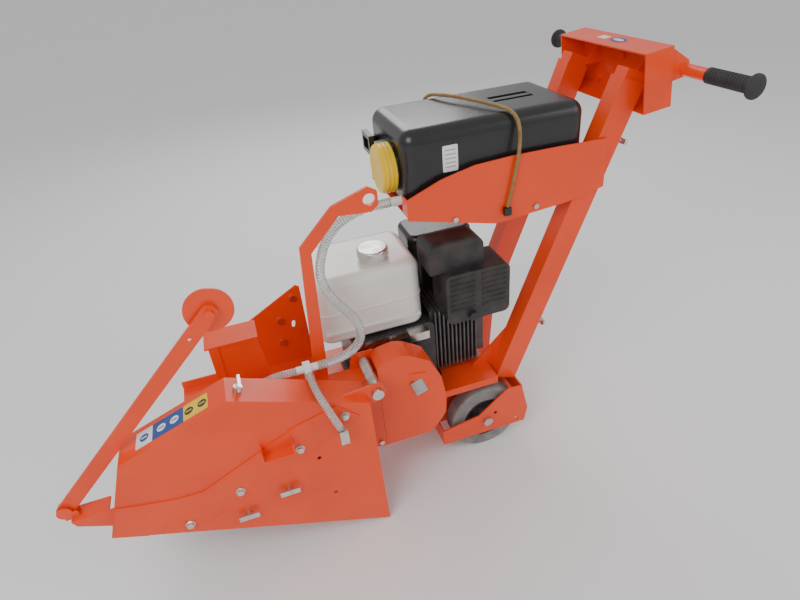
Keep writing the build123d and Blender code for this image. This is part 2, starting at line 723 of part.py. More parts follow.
FUEL_TOP = 596.0
with BuildPart() as fuel:
    block((-140, 118), (-95, 104), (424, FUEL_TOP))
    fillet(fuel.edges().filter_by(Axis.Z), 32)
    fillet(fuel.edges().group_by(Axis.Z)[-1], 22)
    fillet(fuel.edges().group_by(Axis.Z)[0], 12)
    block((-128, 106), (-101, 107.5), (453, 458))
    with Locations((22, -30, FUEL_TOP + 4)):
        Cylinder(30, 8)
save(fuel, "fuel_tank")

with BuildPart() as fuel_cap:
    with Locations((22, -30, FUEL_TOP + 8.4 + 10)):
        Cylinder(37, 20)
    fillet(fuel_cap.edges().group_by(Axis.Z)[-1], 5)
save(fuel_cap, "fuel_cap")

with BuildPart() as muffler:
    block((158, 320), (-147, -50), (432, 566))
    fillet(muffler.edges().filter_by(Axis.Y), 16)
    block((128, 262), (-126, -40), (566, 640))
    fillet(muffler.edges().group_by(Axis.Z)[-1], 22)
    rod_y(222, 446, 11, -158, -140)
    block((206, 232), (-78, -58), (430, 434))
save(muffler, "muffler")

with BuildPart() as cleaner:
    block((130, 300), (16, 140), (452, 596))
    fillet(cleaner.edges().filter_by(Axis.Z), 26)
    fillet(cleaner.edges().group_by(Axis.Z)[-1], 14)
    block((190, 222), (40, 72), (430, 452))
save(cleaner, "air_cleaner")

with BuildPart() as carb:
    block((-60, 96), (-104, -96), (396, 412))
    block((66, 116), (-128, -96), (396, 418))
    rod_y(-30, 404, 10, -112, -103)
    rod_y(28, 404, 8, -110, -103)
save(carb, "governor_linkage")


# ---- columns and handle -------------------------------------------------
def column_tube(y):
    """The square-cut outer tube of one handle column."""
    half = COLUMN_W / 2
    with BuildPart() as p:
        with BuildSketch(side(y - half)):
            with BuildLine():
                Polyline(*quad(column, 0, COLUMN_D, 0, COLUMN_LEN), close=True)
            make_face()
        extrude(amount=-COLUMN_W)
        w = COLUMN_WALL
        with BuildSketch(side(y - half + w)):
            with BuildLine():
                Polyline(*quad(column, w, COLUMN_D - w, -5, COLUMN_LEN + 5), close=True)
            make_face()
        extrude(amount=-(COLUMN_W - 2 * w), mode=Mode.SUBTRACT)
    return p


save(column_tube(-COLUMN_Y), "column_near")
save(column_tube(COLUMN_Y), "column_far")

edge = COLUMN_WALL + TUBE_SLACK
with BuildPart() as tubes:
    for s in (-1, 1):
        y0 = s * COLUMN_Y - COLUMN_W / 2 + edge
        for inset, mode in ((0.0, Mode.ADD), (2.5, Mode.SUBTRACT)):
            u0 = edge + inset
            u1 = COLUMN_D - edge - inset
            v0 = COLUMN_LEN - INNER_IN - inset
            v1 = COLUMN_LEN + INNER_OUT - (3.0 if inset else 0.0)
            with BuildSketch(side(y0 + inset)):
                with BuildLine():
                    Polyline(*quad(column, u0, u1, v0, v1), close=True)
                make_face()
            extrude(amount=-(COLUMN_W - 2 * edge - 2 * inset), mode=mode)
save(tubes, "handle_tubes")

with BuildPart() as locks:
    for v in (175, 660):
        for s in (-1, 1):
            x, z = column(COLUMN_D, v)
            c = math.cos(math.radians(LEAN))
            n = math.sin(math.radians(LEAN))
            at = Plane(origin=(x, s * COLUMN_Y, z), z_dir=(c, 0, -n), x_dir=(0, 1, 0))
            with BuildSketch(at):
                Circle(8)
            extrude(amount=16)
            with BuildSketch(at.offset(16)):
                RectangleRounded(46, 12, 5)
            extrude(amount=7)
save(locks, "column_wing_bolts")

box_side = quad(boxed, 0, BOX_DEPTH, 0, BOX_H)
W = SHEET
with BuildPart() as box:
    with BuildSketch(side(-BOX_HALF)):
        with BuildLine():
            Polyline(*box_side, close=True)
        make_face()
    extrude(amount=-2 * BOX_HALF)
    with BuildSketch(side(-BOX_HALF + W)):
        with BuildLine():
            Polyline(*quad(boxed, -10, BOX_DEPTH - W, W, BOX_H - W), close=True)
        make_face()
    extrude(amount=-2 * (BOX_HALF - W), mode=Mode.SUBTRACT)
    for s in (-1, 1):
        y0, y1 = sorted((s * (COLUMN_Y - 20), s * (COLUMN_Y - 14)))
        with BuildSketch(side(y0)):
            with BuildLine():
                Polyline(
                    column(COLUMN_D - edge, COLUMN_LEN + 4),
                    column(COLUMN_D - edge, COLUMN_LEN + INNER_OUT),
                    boxed(BOX_DEPTH - W, 30), boxed(BOX_DEPTH - W, 70), close=True,
                )
            make_face()
        extrude(amount=y0 - y1)
    for y in (-95, 0, 95):
        for v in (42, 108):
            x, z = boxed(BOX_DEPTH, v)
            t = math.radians(BOX_TILT)
            at = Plane(
                origin=(x, y, z), z_dir=(math.cos(t), 0, math.sin(t)), x_dir=(0, 1, 0)
            )
            with BuildSketch(at.offset(-W - 6)):
                RegularPolygon(8, 6)
            extrude(amount=6)
save(box, "control_box")

with BuildPart() as bar:
    rod_y(BAR_X, BAR_Z, BAR_R, -BAR_HALF, BAR_HALF)
    rod_y(BAR_X, BAR_Z, BAR_R - 2.5, -BAR_HALF - 5, BAR_HALF + 5, Mode.SUBTRACT)
    for s in (-1, 1):
        y0, y1 = sorted((s * 150.0, s * 154.0))
        with BuildSketch(side(y0)):
            with BuildLine():
                Polyline(
                    boxed(BOX_DEPTH, 4), boxed(BOX_DEPTH, 76), (BAR_X + 4, BAR_Z - 16),
                    (BAR_X + 16, BAR_Z), (BAR_X + 10, BAR_Z + 18), close=True,
                )
            make_face()
            with Locations((BAR_X, BAR_Z)):
                Circle(BAR_R - 1, mode=Mode.SUBTRACT)
        extrude(amount=y0 - y1)
save(bar, "handlebar")

with BuildPart() as grips:
    for s in (-1, 1):
        end = s * (BAR_HALF + 4)
        a, b = sorted((s * (BAR_HALF - GRIP_LEN), end))
        rod_y(BAR_X, BAR_Z, GRIP_R, a, b)
        a, b = sorted((s * (BAR_HALF - 3), end))
        rod_y(BAR_X, BAR_Z, FLANGE_R, a, b)
        a, b = sorted((s * (BAR_HALF - GRIP_LEN), s * (BAR_HALF - GRIP_LEN + 5)))
        rod_y(BAR_X, BAR_Z, 20, a, b)
        a, b = sorted((s * (BAR_HALF - GRIP_LEN - 1), s * BAR_HALF))
        rod_y(BAR_X, BAR_Z, BAR_R, a, b, Mode.SUBTRACT)
save(grips, "grips")

# ---- tray and lifting arms ----------------------------------------------
tray_side = [
    (TRAY_X0, 721), (TRAY_X0, 767), (160, 797), (238, 814), (324, 818), (447, 817),
    (TRAY_X1, 813), (TRAY_X1, 700), (463, 681), (353, 673), (308, 669), (285, 669),
]
with BuildPart() as tray:
    for s in (-1, 1):
        y0, y1 = sorted((s * TRAY_HALF, s * (TRAY_HALF - SHEET)))
        with BuildSketch(side(y0)):
            with BuildLine():
                Polyline(*tray_side, close=True)
            make_face()
            with Locations((190, 701), (386, 690)):
                Circle(6, mode=Mode.SUBTRACT)
        extrude(amount=y0 - y1)
        y0, y1 = sorted((s * (TRAY_HALF - SHEET), s * (COLUMN_Y + COLUMN_W / 2)))
        block((500, TRAY_X1), (y0, y1), (760, 800))
    t0 = TRAY_HALF - SHEET
    block((TRAY_X0, 494), (-t0, t0), (TRAY_Z - SHEET, TRAY_Z))
    block((494, TRAY_X1), (-80, 80), (TRAY_Z - SHEET, TRAY_Z))
    for s in (-1, 1):
        y0, y1 = sorted((s * t0, s * (t0 - 30)))
        block((TRAY_X0, TRAY_X0 + SHEET), (y0, y1), (TRAY_Z, 768))
save(tray, "tray")


# the one lifting arm: a bent flat bar that rises from the casing to a lifting eye
ARM_T = 8.0
EYE_R = 13.0
EYE_X = 0.0
EYE_Z = 797.0
ARM_Y = -CHASSIS_HALF - ARM_T
with BuildPart() as lifting_arm:
    with BuildSketch(side(ARM_Y)):
        with BuildLine():
            Polyline(
                (-177, CASING_TOP), (-177, 401), (-154, 724), (-78, 798), (-2, 824),
                (18, 812), (18, 782), (2, 770), (-66, 776), (-132, 708), (-147, 391),
                (-147, CASING_TOP), close=True,
            )
        make_face()
        with Locations((EYE_X, EYE_Z)):
            Circle(EYE_R, mode=Mode.SUBTRACT)
    extrude(amount=-ARM_T)
    block((-177, -147), (ARM_Y - 30, ARM_Y + ARM_T), (CASING_TOP, CASING_TOP + 8))
save(lifting_arm, "lifting_arm_near")

with BuildPart() as frame_bolts:
    rod_y(PIVOT_X, PIVOT_Z, 13, EAR_Y - 11, EAR_Y - 0.4)
    rod_y(PIVOT_X, PIVOT_Z, PIVOT_R, EAR_Y - 1, -CHASSIS_HALF)
    rod_y(PIVOT_X, PIVOT_Z, 13, EAR_Y + 6.4, -CHASSIS_HALF)
    for x, z in ((-174, 433), (-219, 371), (-225, 300)):
        rod_y(x, z, 9, CHASSIS_HALF - PLATE - 7, CHASSIS_HALF - PLATE)
        rod_y(x, z, 5, CHASSIS_HALF - PLATE, CHASSIS_HALF)
    rod_y(-55, 186, 6, CASING_FACE - 5, CASING_FACE)
    for x, z in ((190, 701), (386, 690)):
        for s in (-1, 1):
            y0, y1 = sorted((s * (TRAY_HALF - SHEET - 4), s * (TRAY_HALF + 5)))
            rod_y(x, z, 6, y0, y1)
save(frame_bolts, "frame_bolts")

# ---- water tank, hoses and strap ----------------------------------------
with BuildPart() as tank:
    block(
        (TANK_X0, TANK_X0 + TANK_LEN), (-TANK_HALF, TANK_HALF), (TRAY_Z, TRAY_Z + TANK_H)
    )
    fillet(tank.edges(), TANK_R)
    with Locations((388, 0, TRAY_Z + TANK_H)):
        Box(96, 44, 50, mode=Mode.SUBTRACT)
    with Locations((388, 0, TRAY_Z + TANK_H - 6)):
        Box(100, 16, 11)
    with Locations(Location((TANK_X0, CAP_Y, CAP_Z), (0, 90, 0))):
        Cylinder(CAP_R - 8, 16)
    with Locations((TANK_X0 - 12, 28, 826)):
        Box(30, 12, 12)
    with Locations((TANK_X0 - 25, 52, 842)):
        Box(12, 60, 44)
    with Locations((TANK_X0 - 25, 52, 842)):
        Box(14, 42, 26, mode=Mode.SUBTRACT)
    with Locations((TANK_X0 - 5, 76, 842)):
        Box(30, 12, 12)
save(tank, "water_tank")

with BuildPart() as cap:
    with Locations(Location((TANK_X0 - 21, CAP_Y, CAP_Z), (0, 90, 0))):
        Cylinder(CAP_R, 34)
    with Locations(Location((TANK_X0 - 8, CAP_Y, CAP_Z), (0, 90, 0))):
        Cylinder(CAP_R - 8 + GAP, 18, mode=Mode.SUBTRACT)
save(cap, "tank_cap")

TEE_X = -192.0
TEE_Y = -189.0
TEE_Z = 452.0
main_points = [
    (58, -98, 755), (-24, -98, 755), (-98, -118, 716), (-134, -162, 630),
    (-48, -189, 524), (-90, -189, 452), (-168, -189, 452),
]
left_points = [
    (-216, -189, 452), (-268, -190, 457), (-322, -186, 430), (-344, -184, 376),
]
right_points = [
    (-192, -213, 452), (-191, -264, 455), (-176, -314, 436), (-158, -323, 380),
]
save(tube(main_points, HOSE_D, "hose_main"), "hose_main")
save(tube(left_points, BRANCH_D, "hose_left"), "hose_left")
save(tube(right_points, BRANCH_D, "hose_right"), "hose_right")

with BuildPart() as tee:
    with Locations(Location((TEE_X, TEE_Y, TEE_Z), (0, 90, 0))):
        Cylinder(9, 48)
        Cylinder(13, 16)
    with Locations(Location((TEE_X, TEE_Y - 12, TEE_Z), (90, 0, 0))):
        Cylinder(8, 24)
    block((TEE_X - 8, TEE_X + 8), (TEE_Y + 5, TEE_Y + 20), (TEE_Z - 20, TEE_Z + 3))
    block((TEE_X - 8, TEE_X + 8), (TEE_Y + 17, TEE_Y + 27), (CASING_TOP, TEE_Z))
    with Locations((-345, -184, 368)):
        Cylinder(9, 16)
    with Locations(Location((64, -98, 755), (0, 90, 0))):
        Cylinder(8, 12)
    with Locations(Location((76, -98, 755), (0, 90, 0))):
        Cylinder(10, 24)
save(tee, "hose_fittings")

strap_points = [
    (312, -143, 706), (330, -145, 782), (342, -142, 862), (338, -122, 906),
    (312, -62, 911.5), (280, 20, 913), (252, 74, 912), (230, 122, 906),
    (222, 142, 862), (216, 145, 782), (212, 143, 706),
]
save(tube(strap_points, STRAP_D, "elastic_strap"), "elastic_strap")

with BuildPart() as hooks:
    for x, s in ((312, -1), (212, 1)):
        with Locations((x, s * 143, 696)):
            Box(16, 12, 18)
save(hooks, "strap_anchors")
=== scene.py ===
# %% [markdown]
# # A walk-behind trencher
# The machine is folded orange steel around a petrol engine, with a water can on top.
# The CAD model gives every hard part its place and size. This lesson gives those parts their
# finishes and adds the soft and small things: hoses, grips, cap rings, louvres and labels.

# %% Load the frame
import json
import math

import bmesh
import bpy
from mathutils import Matrix, Vector


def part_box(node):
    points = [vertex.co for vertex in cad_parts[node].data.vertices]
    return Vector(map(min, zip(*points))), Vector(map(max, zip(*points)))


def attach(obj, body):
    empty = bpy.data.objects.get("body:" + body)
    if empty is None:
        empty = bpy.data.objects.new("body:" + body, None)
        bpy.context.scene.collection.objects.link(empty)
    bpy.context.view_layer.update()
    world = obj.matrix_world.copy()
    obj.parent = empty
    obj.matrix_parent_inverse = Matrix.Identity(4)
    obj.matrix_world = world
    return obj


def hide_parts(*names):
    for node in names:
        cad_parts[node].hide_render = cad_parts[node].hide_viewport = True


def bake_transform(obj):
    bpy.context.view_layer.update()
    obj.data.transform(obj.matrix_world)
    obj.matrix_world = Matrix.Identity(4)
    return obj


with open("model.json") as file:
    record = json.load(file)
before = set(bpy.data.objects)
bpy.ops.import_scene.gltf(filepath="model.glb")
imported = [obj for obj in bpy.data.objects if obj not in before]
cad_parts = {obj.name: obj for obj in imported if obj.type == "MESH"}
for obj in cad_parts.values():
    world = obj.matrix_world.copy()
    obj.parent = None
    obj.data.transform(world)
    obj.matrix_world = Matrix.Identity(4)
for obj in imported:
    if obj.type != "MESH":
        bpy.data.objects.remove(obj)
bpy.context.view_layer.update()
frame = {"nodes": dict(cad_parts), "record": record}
nodes = frame["nodes"]

# %% [markdown]
# The camera stands in front of the machine's left side, at about chest height, and is rolled
# a little. Its three axes are written as the columns of a matrix, which says exactly how it
# is turned without any angles to convert.

# %% Camera
camera_data = bpy.data.cameras.new("camera")
camera_data.lens = 25.875
camera_data.sensor_width = 36.0
camera = bpy.data.objects.new("camera", camera_data)
bpy.context.collection.objects.link(camera)
right = Vector((0.9459, -0.3129, -0.0857))
up = Vector((0.2406, 0.4991, 0.8325))
back = Vector((-0.2177, -0.8081, 0.5474))
turn = Matrix((right, up, back)).transposed().to_4x4()
camera.matrix_world = Matrix.Translation((-0.238, -1.197, 1.250)) @ turn
bpy.context.scene.camera = camera
print("camera at", tuple(round(v, 3) for v in camera.location))

# %% [markdown]
# The hoses are clear PVC tubes with a white spiral moulded into the wall. Each is one smooth
# NURBS curve through a few listed points, given a round section. The order and the
# end rule are set after the points, because Blender keeps a short spline straight otherwise.
# The points carry the hose's radius, since Blender grows a curve's box by that number.


# %% A cord's curve
def cord_curve(name, points, diameter):
    data = bpy.data.curves.new(name, "CURVE")
    data.dimensions = "3D"
    data.bevel_depth = 1.0
    data.bevel_resolution = 6
    data.use_fill_caps = True
    spline = data.splines.new("NURBS")
    spline.points.add(len(points) - 1)
    for point, place in zip(spline.points, points):
        point.co = (*place, 1.0)
        point.radius = diameter / 2
    spline.order_u = 3
    spline.use_endpoint_u = True
    spline.resolution_u = 16
    piece = bpy.data.objects.new(name, data)
    bpy.context.collection.objects.link(piece)
    return piece


main_route = [
    (0.058, -0.098, 0.755), (-0.024, -0.098, 0.755), (-0.098, -0.118, 0.716),
    (-0.134, -0.162, 0.630), (-0.048, -0.189, 0.524), (-0.090, -0.189, 0.452),
    (-0.168, -0.189, 0.452),
]
left_route = [
    (-0.216, -0.189, 0.452), (-0.268, -0.190, 0.457), (-0.322, -0.186, 0.430),
    (-0.344, -0.184, 0.376),
]
right_route = [
    (-0.192, -0.213, 0.452), (-0.191, -0.264, 0.455), (-0.176, -0.314, 0.436),
    (-0.158, -0.323, 0.380),
]
strap_route = [
    (0.312, -0.143, 0.706), (0.330, -0.145, 0.782), (0.342, -0.142, 0.862),
    (0.338, -0.122, 0.906), (0.312, -0.062, 0.9115), (0.280, 0.020, 0.913),
    (0.252, 0.074, 0.912), (0.230, 0.122, 0.906), (0.222, 0.142, 0.862),
    (0.216, 0.145, 0.782), (0.212, 0.143, 0.706),
]
HOSE = 0.020
BRANCH = 0.016
STRAP = 0.008

# %% [markdown]
# The spiral in a hose wall is a thin helix that follows the hose's own curve. Blender gives
# the curve as a row of points when its section is taken away, and the helix is wound round
# those points with a frame that is carried along without twisting.


# %% Points along a curve, and a tube along points
def line_points(piece):
    depth = piece.data.bevel_depth
    piece.data.bevel_depth = 0.0
    bpy.context.view_layer.update()
    mesh = bpy.data.meshes.new_from_object(
        piece.evaluated_get(bpy.context.evaluated_depsgraph_get())
    )
    points = [v.co.copy() for v in mesh.vertices]
    bpy.data.meshes.remove(mesh)
    piece.data.bevel_depth = depth
    return points


def carried_frames(points):
    side = (points[1] - points[0]).orthogonal().normalized()
    frames = []
    for i, point in enumerate(points):
        ahead = points[min(i + 1, len(points) - 1)] - points[max(i - 1, 0)]
        ahead.normalize()
        side = (side - ahead * side.dot(ahead)).normalized()
        frames.append((point, side.copy(), ahead.cross(side)))
    return frames


def mesh_piece(name, bm, smooth=True):
    bmesh.ops.recalc_face_normals(bm, faces=bm.faces)
    mesh = bpy.data.meshes.new(name)
    bm.to_mesh(mesh)
    bm.free()
    mesh.shade_smooth() if smooth else mesh.shade_flat()
    piece = bpy.data.objects.new(name, mesh)
    bpy.context.collection.objects.link(piece)
    return piece


def tube_mesh(name, points, radius, sides=6):
    bm = bmesh.new()
    rings = []
    for centre, a, b in carried_frames(points):
        rings.append([
            bm.verts.new(centre + radius * (math.cos(t) * a + math.sin(t) * b))
            for t in (2 * math.pi * k / sides for k in range(sides))
        ])
    for lower, upper in zip(rings, rings[1:]):
        for k in range(sides):
            n = (k + 1) % sides
            bm.faces.new((lower[k], lower[n], upper[n], upper[k]))
    bm.faces.new(rings[0])
    bm.faces.new(rings[-1])
    return mesh_piece(name, bm)


def spiral(name, points, radius, pitch, wire):
    reach = [0.0]
    for a, b in zip(points, points[1:]):
        reach.append(reach[-1] + (b - a).length)
    frames = carried_frames(points)
    steps = int(reach[-1] / pitch * 14)
    path = []
    seg = 0
    for i in range(steps + 1):
        s = wire + (reach[-1] - 2 * wire) * i / steps
        while seg < len(reach) - 2 and reach[seg + 1] < s:
            seg += 1
        f = (s - reach[seg]) / max(reach[seg + 1] - reach[seg], 1e-9)
        p0, a0, b0 = frames[seg]
        p1, a1, b1 = frames[seg + 1]
        centre = p0.lerp(p1, f)
        a = a0.lerp(a1, f).normalized()
        b = b0.lerp(b1, f).normalized()
        t = 2 * math.pi * s / pitch
        path.append(centre + radius * (math.cos(t) * a + math.sin(t) * b))
    print(name, "turns", round(reach[-1] / pitch, 1), "hose length", round(reach[-1], 4))
    return tube_mesh(name, path, wire, 5)


# %% [markdown]
# Each hose goes from one fitting to the next, so its far end is back in the object. The
# branch to the guard's near side is a mesh tube on its curve's own points, left unattached
# to the machine or the guard. The strap is a woven elastic
# cord pulled tight over the can.

# %% The four cords
cords = {}
lines = {}
for name, route, width, length, lay, stiffness in (
    ("hose_main", main_route, HOSE, 0.5423, "loose", "medium"),
    ("hose_left", left_route, BRANCH, 0.1676, "loose", "medium"),
    ("hose_right", right_route, BRANCH, 0.1610, "loose", "medium"),
    ("elastic_strap", strap_route, STRAP, 0.6711, "taut", "limp"),
):
    piece = cord_curve(name + "_cord", route, width)
    lines[name] = line_points(piece)
    bends = name == "hose_right"
    if bends:
        bpy.data.objects.remove(piece)
        piece = tube_mesh(name + "_tube", lines[name], width / 2, 24)
    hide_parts(name)
    cords[name] = piece

spirals = {}
for name, width in (("hose_main", HOSE), ("hose_left", BRANCH), ("hose_right", BRANCH)):
    spirals[name] = spiral(name + "_spiral", lines[name], width / 2 - 0.0013, 0.006, 0.0007)

for name in ("hose_main", "hose_left"):
    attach(cords[name], "machine")
    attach(spirals[name], "machine")
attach(cords["elastic_strap"], "machine")
for piece in (cords["hose_right"], spirals["hose_right"]):
    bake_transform(piece)
print("cords", list(cords), "with spirals in", list(spirals))

# %% [markdown]
# Three effects come back in almost every finish: fine grain, cloudy wear, and dust that
# settles low down on a machine that works on the ground. Each is a node group with named
# sockets, so that every finish can use it with its own scale and strength.


# %% Node groups
def new_group(name, inputs, outputs):
    group = bpy.data.node_groups.new(name, "ShaderNodeTree")
    for label, value in inputs:
        socket = group.interface.new_socket(label, in_out="INPUT", socket_type="NodeSocketFloat")
        socket.default_value = value
    for label, kind in outputs:
        group.interface.new_socket(label, in_out="OUTPUT", socket_type=kind)
    return group, group.nodes.new("NodeGroupInput"), group.nodes.new("NodeGroupOutput")


def ranged(tree, value, low, high, out_low=0.0, out_high=1.0):
    node = tree.nodes.new("ShaderNodeMapRange")
    node.inputs["From Min"].default_value = low
    node.inputs["From Max"].default_value = high
    node.inputs["To Min"].default_value = out_low
    node.inputs["To Max"].default_value = out_high
    tree.links.new(value, node.inputs["Value"])
    return node.outputs["Result"]


def maths(tree, operation, a, b):
    node = tree.nodes.new("ShaderNodeMath")
    node.operation = operation
    for socket, value in zip(node.inputs, (a, b)):
        if isinstance(value, (int, float)):
            socket.default_value = value
        else:
            tree.links.new(value, socket)
    return node.outputs[0]


def noise(tree, place, scale, detail=4.0):
    node = tree.nodes.new("ShaderNodeTexNoise")
    node.inputs["Detail"].default_value = detail
    tree.links.new(place, node.inputs["Vector"])
    if isinstance(scale, (int, float)):
        node.inputs["Scale"].default_value = scale
    else:
        tree.links.new(scale, node.inputs["Scale"])
    return node.outputs["Fac"]


grain, g_in, g_out = new_group("fine_grain", [("Scale", 400.0)], [("Height", "NodeSocketFloat")])
g_place = grain.nodes.new("ShaderNodeTexCoord").outputs["Object"]
grain.links.new(noise(grain, g_place, g_in.outputs["Scale"], 3.0), g_out.inputs["Height"])

wear, w_in, w_out = new_group(
    "cloudy_wear", [("Scale", 12.0), ("Amount", 0.5)], [("Mask", "NodeSocketFloat")]
)
w_place = wear.nodes.new("ShaderNodeTexCoord").outputs["Object"]
w_cloud = ranged(wear, noise(wear, w_place, w_in.outputs["Scale"], 8.0), 0.42, 0.68)
wear.links.new(maths(wear, "MULTIPLY", w_cloud, w_in.outputs["Amount"]), w_out.inputs["Mask"])

dust, d_in, d_out = new_group(
    "ground_dust", [("Reach", 0.3), ("Amount", 0.4)], [("Mask", "NodeSocketFloat")]
)
d_place = dust.nodes.new("ShaderNodeTexCoord").outputs["Object"]
d_split = dust.nodes.new("ShaderNodeSeparateXYZ")
dust.links.new(d_place, d_split.inputs[0])
d_high = maths(dust, "DIVIDE", d_split.outputs["Z"], d_in.outputs["Reach"])
d_low = maths(dust, "SUBTRACT", 1.0, d_high)
d_patch = ranged(dust, noise(dust, d_place, 30.0, 6.0), 0.35, 0.7)
d_mask = maths(dust, "MULTIPLY", ranged(dust, d_low, 0.0, 1.0), d_patch)
dust.links.new(maths(dust, "MULTIPLY", d_mask, d_in.outputs["Amount"]), d_out.inputs["Mask"])
print("node groups", [g.name for g in bpy.data.node_groups])

# %% [markdown]
# A finish is a colour, a second colour where it is worn or cloudy, dust low down, a
# roughness that varies a little, and a fine bump. The shader itself stays in each material,
# and the values that are the same everywhere are set on its own sockets.


# %% A finish
def group_node(tree, group, **values):
    node = tree.nodes.new("ShaderNodeGroup")
    node.node_tree = group
    for label, value in values.items():
        node.inputs[label].default_value = value
    return node.outputs[0]


def mixed(tree, factor, a, b):
    node = tree.nodes.new("ShaderNodeMix")
    node.data_type = "RGBA"
    tree.links.new(factor, node.inputs["Factor"])
    for socket, value in ((node.inputs[6], a), (node.inputs[7], b)):
        if isinstance(value, tuple):
            socket.default_value = (*value, 1.0)
        else:
            tree.links.new(value, socket)
    return node.outputs[2]


DUST = (0.42, 0.37, 0.32)


def finish(
    name, colour, worn, rough, metal=0.0, cloud=12.0, amount=0.4, grain_scale=500.0,
    bump=0.08, dusty=0.25, coat=0.0, height=None,
):
    material = bpy.data.materials.new(name)
    material.use_nodes = True
    tree = material.node_tree
    shader = tree.nodes["Principled BSDF"]
    shader.inputs["Metallic"].default_value = metal
    shader.inputs["Coat Weight"].default_value = coat
    shader.inputs["Coat Roughness"].default_value = 0.12
    wear_mask = group_node(tree, wear, Scale=cloud, Amount=amount)
    dust_mask = group_node(tree, dust, Reach=0.45, Amount=dusty)
    colour_out = mixed(tree, dust_mask, mixed(tree, wear_mask, colour, worn), DUST)
    tree.links.new(colour_out, shader.inputs["Base Color"])
    rough_low = ranged(tree, wear_mask, 0.0, 1.0, rough, min(rough + 0.22, 1.0))
    tree.links.new(
        maths(tree, "ADD", rough_low, maths(tree, "MULTIPLY", dust_mask, 0.4)),
        shader.inputs["Roughness"],
    )
    fine = group_node(tree, grain, Scale=grain_scale)
    relief = tree.nodes.new("ShaderNodeBump")
    relief.inputs["Strength"].default_value = bump
    relief.inputs["Distance"].default_value = 0.001
    bumps = fine if height is None else maths(tree, "ADD", fine, height(tree))
    tree.links.new(bumps, relief.inputs["Height"])
    tree.links.new(relief.outputs["Normal"], shader.inputs["Normal"])
    return material


def bands(axis, pitch):
    """A height that rises and falls along one axis of the object, one band each pitch."""

    def build(tree):
        place = tree.nodes.new("ShaderNodeTexCoord").outputs["Object"]
        split = tree.nodes.new("ShaderNodeSeparateXYZ")
        tree.links.new(place, split.inputs[0])
        turns = maths(tree, "MULTIPLY", split.outputs[axis], 2 * math.pi / pitch)
        return maths(tree, "SINE", turns, 0.0)

    return build


# %% [markdown]
# The powder coat is an orange-red, a little glossy, with the very fine orange-peel that
# baked powder has. Castings are rougher, zinc is bright and cloudy, the moulded can is
# glossy black with a pebbled skin, and the wheels are grey solid rubber.

# %% The finishes, one for each slot
finishes = {
    "orange_coat": finish("orange_powder_coat", (0.90, 0.064, 0.003), (0.76, 0.044, 0.003),
                          0.34, cloud=7.0, amount=0.45, grain_scale=650.0, bump=0.06,
                          coat=0.12, dusty=0.06),
    "zinc": finish("zinc_plate", (0.70, 0.70, 0.68), (0.50, 0.49, 0.45), 0.26, metal=1.0,
                   cloud=60.0, amount=0.7, grain_scale=900.0),
    "steel": finish("bare_steel", (0.50, 0.50, 0.51), (0.30, 0.24, 0.20), 0.34, metal=1.0,
                    cloud=40.0, amount=0.7),
    "disc_steel": finish("ground_steel", (0.46, 0.46, 0.48), (0.33, 0.32, 0.31), 0.30,
                         metal=1.0, cloud=25.0, amount=0.6, grain_scale=1200.0),
    "rubber": finish("black_rubber", (0.022, 0.022, 0.023), (0.06, 0.058, 0.055), 0.62,
                     cloud=30.0, grain_scale=700.0, bump=0.25, dusty=0.5),
    "tyre_grey": finish("grey_solid_rubber", (0.16, 0.16, 0.165), (0.25, 0.24, 0.23), 0.66,
                        cloud=22.0, grain_scale=500.0, bump=0.3, dusty=0.7),
    "engine_cast": finish("cast_alloy", (0.10, 0.10, 0.105), (0.22, 0.215, 0.21), 0.46,
                          metal=0.6, cloud=35.0, amount=0.6, grain_scale=380.0, bump=0.35),
    "engine_black": finish("engine_paint", (0.018, 0.018, 0.02), (0.045, 0.044, 0.043), 0.36,
                           cloud=20.0, grain_scale=420.0, bump=0.2, coat=0.1),
    "tank_white": finish("cream_enamel", (0.80, 0.79, 0.74), (0.68, 0.65, 0.57), 0.24,
                         cloud=9.0, amount=0.35, grain_scale=300.0, bump=0.03, coat=0.5),
    "muffler_black": finish("heat_proof_black", (0.020, 0.020, 0.021), (0.07, 0.055, 0.045),
                            0.44, cloud=28.0, amount=0.6, grain_scale=520.0, bump=0.22),
    "black_plastic": finish("moulded_black", (0.012, 0.012, 0.013), (0.028, 0.028, 0.029),
                            0.26, cloud=8.0, grain_scale=900.0, bump=0.10, dusty=0.1, coat=0.2),
    "yellow_plastic": finish("moulded_yellow", (0.90, 0.60, 0.012), (0.78, 0.47, 0.01), 0.30,
                             cloud=26.0, grain_scale=600.0, bump=0.05, dusty=0.1),
    "white_plastic": finish("moulded_white", (0.80, 0.81, 0.78), (0.66, 0.66, 0.60), 0.30,
                            cloud=40.0, grain_scale=600.0, bump=0.05, dusty=0.1),
    "tan_strap": finish("woven_tan", (0.50, 0.30, 0.11), (0.34, 0.19, 0.07), 0.72,
                        cloud=90.0, amount=0.8, bump=0.8, grain_scale=1500.0, dusty=0.0,
                        height=bands("Z", 0.0016)),
}
print(len(finishes), "finishes")

# %% [markdown]
# Clear PVC lets light through and bends it. Its shader keeps plain metallic and transmission
# values, while a cloudy mask makes the wall a little milky in places, as used hose is.

# %% Clear hose
clear = bpy.data.materials.new("clear_pvc")
clear.use_nodes = True
clear_tree = clear.node_tree
clear_shader = clear_tree.nodes["Principled BSDF"]
clear_shader.inputs["Transmission Weight"].default_value = 0.75
clear_shader.inputs["IOR"].default_value = 1.38
milky = group_node(clear_tree, wear, Scale=35.0, Amount=0.8)
clear_tree.links.new(mixed(clear_tree, milky, (0.90, 0.93, 0.92), (0.72, 0.75, 0.72)),
                     clear_shader.inputs["Base Color"])
clear_tree.links.new(ranged(clear_tree, milky, 0.0, 1.0, 0.07, 0.30),
                     clear_shader.inputs["Roughness"])
finishes["clear_hose"] = clear
print("clear hose is", clear.name)

